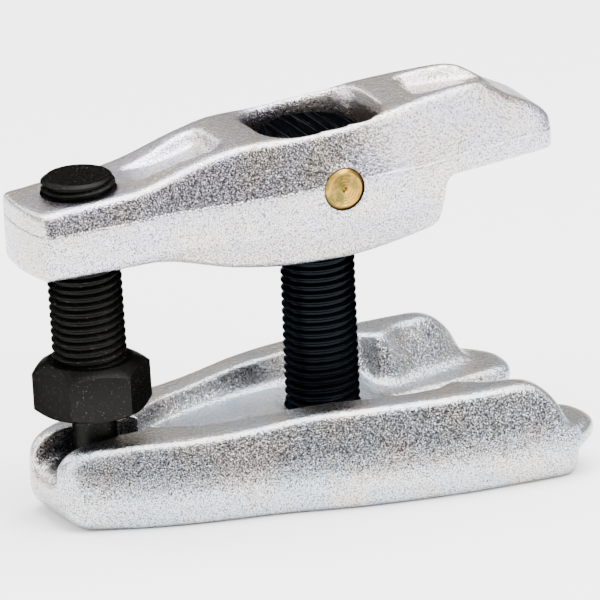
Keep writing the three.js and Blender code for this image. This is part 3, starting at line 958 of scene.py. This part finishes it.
@dataclass
class LowerArm(Forging):
    """The forked lower arm, with the stud's hole in its web. The painted shade on its upper flanks sets in
    over a wide band about the parting line.
    """

    node: str = "lower_arm"
    body: Body = Body.LOWER_ARM
    name: str = "lower_arm_forging"
    stud_hole: float = 18.6
    web: tuple[float, float] = (0.3, 17.4)
    tail_height: float = 10.0
    fork_height: float = 8.0
    rib_end: tuple[float, float] = (22.0, 19.0)

    def finish(self) -> ZincPlate:
        """Makes the lower arm's plating, bluer than the upper arm's.

        Returns:
            The finish.
        """
        return ZincPlate(
            "zinc_plated_lower_arm",
            lilac="#dce8f2",
            cream="#efeae4",
            parting=11.0,
            flash=0.0,
            painted_shade_band=5.0,
        )

    def holes(self) -> Sequence[Hole]:
        """Gives the stud's hole."""
        return (Hole(self.stud_hole, Matrix.Translation((self.layout.pivot.x, 0, 0)), (self.web,)),)

    def spots(self) -> Sequence[SoftSpot]:
        """Rounds the tail, the fork and the inner ends of the ribs.

        Returns:
            The soft spots, in the order that they are relaxed.
        """
        tail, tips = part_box(self.node)
        along, up = self.rib_end
        return (
            SoftSpot(Vector((tail.x, 0, self.tail_height * MM)), (17, 30, 30), 60),
            SoftSpot(Vector((tips.x, 0, self.fork_height * MM)), (22, 60, 30), 44),
            SoftSpot(Vector((self.layout.pivot.x + along * MM, 0, up * MM)), (16, 29, 9), 30),
        )


@dataclass
class UpperArm(Forging):
    """The lipped upper arm, with the pin's holes in its walls and the spindle's through its block."""

    node: str = "upper_arm"
    body: Body = Body.UPPER_ARM
    name: str = "upper_arm_forging"
    spindle_reach: float = 61.4
    spindle_hole: float = 18.6
    block: tuple[float, float] = (-9.9, 7.2)
    pin_hole: float = 10.6
    wall: tuple[float, float] = (12.7, 17.6)
    parting_above_pivot: float = 1.0
    opening_rim: tuple[float, float] = (13.0, 14.0)

    def finish(self) -> ZincPlate:
        """Makes the upper arm's plating, with the painted shade on its upper flanks fading out from the pivot
        towards the nose.

        Returns:
            The finish.
        """
        return ZincPlate(
            "zinc_plated_upper_arm",
            parting=self.layout.pivot.z / MM + self.parting_above_pivot,
            tilt=self.layout.tilt,
            painted_shade_from=self.layout.pivot.x / MM,
        )

    def holes(self) -> Sequence[Hole]:
        """Places the pin's holes and the spindle's.

        Returns:
            The holes, in the order that they are drilled.
        """
        inner, outer = self.wall
        across = Matrix.Rotation(math.pi / 2, 4, "X")
        back = Matrix.Translation((-self.spindle_reach * MM, 0, 0))
        return (
            Hole(self.pin_hole, self.layout.upper @ across, ((-outer, -inner), (inner, outer))),
            Hole(self.spindle_hole, self.layout.upper @ back, (self.block,)),
        )

    def spots(self) -> Sequence[SoftSpot]:
        """Rounds the block's end, the nose and the opening's far rim.

        Returns:
            The soft spots, in the order that they are relaxed.
        """
        back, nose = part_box(self.node)
        aside, up = self.opening_rim
        return (
            SoftSpot(Vector((back.x, 0, self.layout.pivot.z)), (9, 30, 40), 30),
            SoftSpot(Vector((nose.x, 0, self.layout.pivot.z)), (22, 30, 40), 24),
            SoftSpot(self.layout.upper @ Vector((0, aside * MM, up * MM)), (18, 4.5, 6), 40),
        )


@dataclass
class ForcingSpindle:
    """The forcing spindle: threaded shank, hexagon and plain foot turned from one bar.

    Sizes are mm, and heights are in the upper arm's frame, which has its origin on the pivot. Sunk is how far
    the thread runs into the hexagon.
    """

    layout: Layout
    reach: float = 61.4
    foot_bottom: float = -61.46
    foot_length: float = 14.0
    foot_diameter: float = 10.8
    hexagon: float = 25.0
    hexagon_length: float = 12.5
    hexagon_turn: float = 16.0
    upper_chamfer: float = 2.4
    lower_chamfer: float = 1.2
    end_chamfer: float = 1.2
    edge_round: float = 0.35
    sunk: float = 0.6
    proud: float = 4.0
    block_top: float = 7.2
    thread: Thread = field(default_factory=Thread)
    finish: DarkSteel = DarkSteel("black_oxide_spindle")

    def build(self) -> bpy.types.Object:
        """Makes the thread, hexagon and foot and joins them.

        Returns:
            The spindle, standing in the upper arm's frame.
        """
        low = self.foot_bottom + self.foot_length
        high = low + self.hexagon_length
        top = self.block_top + self.proud
        spindle = self.thread.build("forcing_spindle_turned", high - self.sunk, top)
        crop = turned(
            "end_crop",
            [
                (0, high - 2),
                (self.thread.diameter, high - 2),
                (self.thread.diameter, top - self.end_chamfer - 6),
                (self.thread.diameter / 2 + 0.2, top - self.end_chamfer + 0.1),
                (self.thread.diameter / 2 - self.end_chamfer, top),
                (0, top),
            ],
        )
        combine(spindle, crop, "INTERSECT")
        join(spindle, self.nut(low, high), self.foot(low))
        smooth(spindle, 28)
        place(spindle, self.layout.upper @ Matrix.Translation((-self.reach * MM, 0, 0)))
        return spindle

    def nut(self, low: float, high: float) -> bpy.types.Object:
        """Makes the hexagon with its corners turned off at both ends.

        Args:
            low: Height of its lower face.
            high: Height of its upper face.

        Returns:
            A closed hexagon about the Z axis.
        """
        corner = self.hexagon / math.sqrt(3)
        bpy.ops.mesh.primitive_cylinder_add(vertices=6, radius=corner * MM, depth=(high - low) * MM)
        nut = bpy.context.object
        place(
            nut,
            Matrix.Translation((0, 0, (low + high) / 2 * MM))
            @ Matrix.Rotation(math.radians(self.hexagon_turn), 4, "Z"),
        )
        crop = turned(
            "hexagon_crop",
            [
                (0, low - 0.01),
                (corner - self.lower_chamfer * 1.73, low - 0.01),
                (corner + 0.2, low + self.lower_chamfer + 0.1),
                (corner + 0.2, high - self.upper_chamfer - 0.1),
                (corner - self.upper_chamfer * 1.73, high + 0.01),
                (0, high + 0.01),
            ],
        )
        combine(nut, crop, "INTERSECT")
        clean(nut)
        apply_modifier(
            nut,
            "BEVEL",
            width=self.edge_round * MM,
            segments=2,
            limit_method="ANGLE",
            angle_limit=math.radians(25),
        )
        return nut

    def foot(self, low: float) -> bpy.types.Object:
        """Makes the plain foot under the hexagon.

        Args:
            low: Height of the hexagon's lower face.

        Returns:
            A closed turned foot about the Z axis.
        """
        radius = self.foot_diameter / 2
        return turned(
            "foot",
            [
                (0, self.foot_bottom),
                (radius - 1.9, self.foot_bottom),
                (radius - 1.3, self.foot_bottom + 0.25),
                (radius - 0.3, self.foot_bottom + 1.25),
                (radius, self.foot_bottom + 2),
                (radius, low - 0.6),
                (radius + 0.6, low),
                (radius + 0.6, low + 1),
                (0, low + 1),
            ],
            64,
        )

    def dress(self, spindle: bpy.types.Object) -> None:
        """Gives the spindle its finish and its place in the frame.

        Args:
            spindle: The finished shape.
        """
        spindle.data.materials.clear()
        spindle.data.materials.append(self.finish.material())
        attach(spindle, Body.SPINDLE.value)
        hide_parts("forcing_spindle")


@dataclass
class CentreStud:
    """The threaded stud and its round head, which the pivot pin runs through.

    Heights are mm from the pivot.
    """

    layout: Layout
    head_diameter: float = 24.2
    head_above: float = 10.6
    head_below: float = 11.0
    head_chamfer: float = 0.8
    end_height: float = 1.0
    pin_hole: float = 10.2
    thread: Thread = field(default_factory=Thread)
    steel: DarkSteel = DarkSteel(
        "blued_steel_stud", base="#14181c", worn="#6f767c", wear=0.72, roughness=0.34
    )
    sawn: SawnSteel = SawnSteel("sawn_steel_head")

    def build(self) -> bpy.types.Object:
        """Makes the thread and the head and joins them.

        Returns:
            The stud, standing in the row frame.
        """
        bottom = self.end_height - self.layout.pivot.z / MM
        radius = self.head_diameter / 2
        stud = self.thread.build("centre_stud_turned", bottom, -self.head_below + 0.5)
        crop = turned(
            "stud_crop",
            [
                (0, bottom),
                (self.thread.diameter / 2 - 1.3, bottom),
                (self.thread.diameter / 2 + 0.3, bottom + 1.5),
                (self.thread.diameter, bottom + 8),
                (self.thread.diameter, 0),
                (0, 0),
            ],
        )
        combine(stud, crop, "INTERSECT")
        head = turned(
            "head",
            [
                (0, -self.head_below),
                (radius - self.head_chamfer, -self.head_below),
                (radius, -self.head_below + self.head_chamfer),
                (radius, self.head_above - self.head_chamfer),
                (radius - self.head_chamfer, self.head_above),
                (0, self.head_above),
            ],
        )
        bpy.ops.mesh.primitive_cylinder_add(
            vertices=64, radius=self.pin_hole / 2 * MM, depth=2 * self.head_diameter * MM
        )
        hole = bpy.context.object
        place(hole, Matrix.Rotation(math.pi / 2, 4, "X"))
        combine(head, hole, "DIFFERENCE")
        join(stud, head)
        smooth(stud, 28)
        place(stud, self.layout.stud)
        return stud

    def dress(self, stud: bpy.types.Object) -> None:
        """Gives the stud its blued finish, with a sawn face on top.

        Args:
            stud: The finished shape.
        """
        stud.data.materials.clear()
        stud.data.materials.append(self.steel.material())
        stud.data.materials.append(self.sawn.material())
        top = self.layout.pivot.z + (self.head_above - 0.1) * MM
        for face in stud.data.polygons:
            face.material_index = int(face.center.z > top and face.normal.z > 0.9)
        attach(stud, Body.STUD.value)
        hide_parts("centre_stud")


@dataclass
class PivotPin:
    """The pivot pin: turned, with a centre and faint tool rings in each end.

    Sizes are mm.
    """

    layout: Layout
    diameter: float = 10.0
    length: float = 36.4
    chamfer: float = 0.7
    centre: float = 1.6
    finish: GoldPassivate = GoldPassivate("yellow_passivated_pin")

    def end(self) -> list[tuple[float, float]]:
        """Profile of one end, from the axis to the side.

        Returns:
            Radius and height of each corner, with the end face at height zero.
        """
        rings = []
        for turn in range(4):
            radius = self.centre / 2 + 0.35 + turn * 0.75
            rings += [(radius, 0), (radius + 0.16, 0.07), (radius + 0.4, 0.09), (radius + 0.56, 0)]
        edge = self.diameter / 2
        middle = [(0, 0.75), (0.25, 0.7), (self.centre / 2, 0)]
        return [*middle, *rings, (edge - self.chamfer, 0), (edge, self.chamfer)]

    def build(self) -> bpy.types.Object:
        """Turns the pin.

        Returns:
            The pin, lying along Y on the pivot.
        """
        half = self.length / 2
        lower = [(radius, height - half) for radius, height in self.end()]
        upper = [(radius, half - height) for radius, height in reversed(self.end())]
        pin = turned("pivot_pin_turned", lower + upper, 80)
        smooth(pin, 24)
        place(pin, self.layout.stud @ Matrix.Rotation(math.pi / 2, 4, "X"))
        return pin

    def dress(self, pin: bpy.types.Object) -> None:
        """Gives the pin its finish and its place in the frame.

        Args:
            pin: The finished shape.
        """
        pin.data.materials.append(self.finish.material())
        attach(pin, Body.STUD.value)
        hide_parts("pivot_pin")


# ---------------------------------------------------------------- studio


@dataclass
class Studio:
    """Floor, soft light and camera.

    Angles are degrees. The camera looks down at the tool from in front of its side, at a point look_height
    over the floor and then aside by aim. Width is the breadth of the view. These are mm, distance is metres.
    """

    layout: Layout
    azimuth: float = 24.0
    elevation: float = 18.5
    roll: float = 2.34
    width: float = 143.2
    aim: tuple[float, float] = (-5.465, 23.866)
    look_height: float = 18.0
    distance: float = 0.8
    finish: PaleFloor = PaleFloor("white_studio_floor")

    def build(self) -> None:
        """Builds the whole studio."""
        self.floor()
        self.world()
        self.lights()
        self.camera()

    def floor(self) -> None:
        """Lays a wide pale floor."""
        bpy.ops.mesh.primitive_plane_add(size=8)
        ground = bpy.context.object
        ground.name = "studio_floor"
        ground.data.materials.append(self.finish.material())

    def world(self) -> None:
        """Surrounds the scene with light that is dim at the horizon and bright overhead."""
        world = bpy.data.worlds.new("studio")
        bpy.context.scene.world = world
        world.use_nodes = True
        tree = world.node_tree
        direction = add_node(tree, "ShaderNodeTexCoord").outputs["Generated"]
        axes = add_node(tree, "ShaderNodeSeparateXYZ", {0: direction})
        ramp = add_node(tree, "ShaderNodeValToRGB", {"Fac": axes.outputs["Z"]})
        stops = ramp.color_ramp.elements
        stops[0].position = 0.0
        stops[0].color = linear("#1c1b1a")
        stops[1].position = 1.0
        stops[1].color = linear("#ffffff")
        for position, colour in ((0.12, "#2c2a28"), (0.25, "#d9cdbd"), (0.6, "#f8f8f8")):
            stop = stops.new(position)
            stop.color = linear(colour)
        background = tree.nodes["Background"]
        tree.links.new(ramp.outputs["Color"], background.inputs["Color"])
        background.inputs["Strength"].default_value = 1.3

    def lights(self) -> None:
        """Hangs five softboxes: overhead, in front, left, right and behind."""
        middle = Vector((0, 0, 0.04))
        for name, where, size, power in (
            ("overhead_softbox", (0.15, 0.0, 1.1), 1.1, 44.0),
            ("front_softbox", (0.45, -0.95, 0.92), 0.6, 20.0),
            ("left_softbox", (-1.1, -0.3, 0.6), 0.7, 12.0),
            ("right_softbox", (1.06, -0.95, 0.28), 0.36, 6.0),
            ("back_softbox", (-0.7, 1.0, 0.9), 0.8, 12.0),
        ):
            data = bpy.data.lights.new(name, "AREA")
            data.shape = "SQUARE"
            data.size = size
            data.energy = power
            lamp = bpy.data.objects.new(name, data)
            bpy.context.scene.collection.objects.link(lamp)
            lamp.location = where
            lamp.rotation_euler = (Vector(where) - middle).to_track_quat("Z", "Y").to_euler()

    def camera(self) -> None:
        """Sets up the camera, which sees without perspective as from far away."""
        turn, lift, roll = (math.radians(v) for v in (self.azimuth, self.elevation, self.roll))
        right = Vector((math.cos(turn), -math.sin(turn), 0))
        ahead = Vector((math.sin(turn) * math.cos(lift), math.cos(turn) * math.cos(lift), -math.sin(lift)))
        up = right.cross(ahead)
        across = right * math.cos(roll) - up * math.sin(roll)
        above = right * math.sin(roll) + up * math.cos(roll)
        aside = (across * self.aim[0] + above * self.aim[1]) * MM
        target = Vector((self.layout.pivot.x, 0, self.look_height * MM)) + aside
        data = bpy.data.cameras.new("camera")
        data.type = "ORTHO"
        data.ortho_scale = self.width * MM
        data.clip_end = 20
        camera = bpy.data.objects.new("camera", data)
        bpy.context.scene.collection.objects.link(camera)
        turn_matrix = Matrix((across, above, -ahead)).transposed().to_4x4()
        camera.matrix_world = Matrix.Translation(target - ahead * self.distance) @ turn_matrix
        bpy.context.scene.camera = camera


# ---------------------------------------------------------------- main


def main() -> None:
    """Builds every piece in order."""
    logging.basicConfig(level=logging.INFO, format="%(name)s: %(message)s")
    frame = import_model()
    layout = Layout.from_joints(frame["joints"])
    parts = [LowerArm(layout), UpperArm(layout), ForcingSpindle(layout), CentreStud(layout), PivotPin(layout)]
    for part in parts:
        piece = part.build()
        part.dress(piece)
        LOG.info("%s: %d faces", piece.name, len(piece.data.polygons))
    Studio(layout).build()


if __name__ == "__main__":
    main()
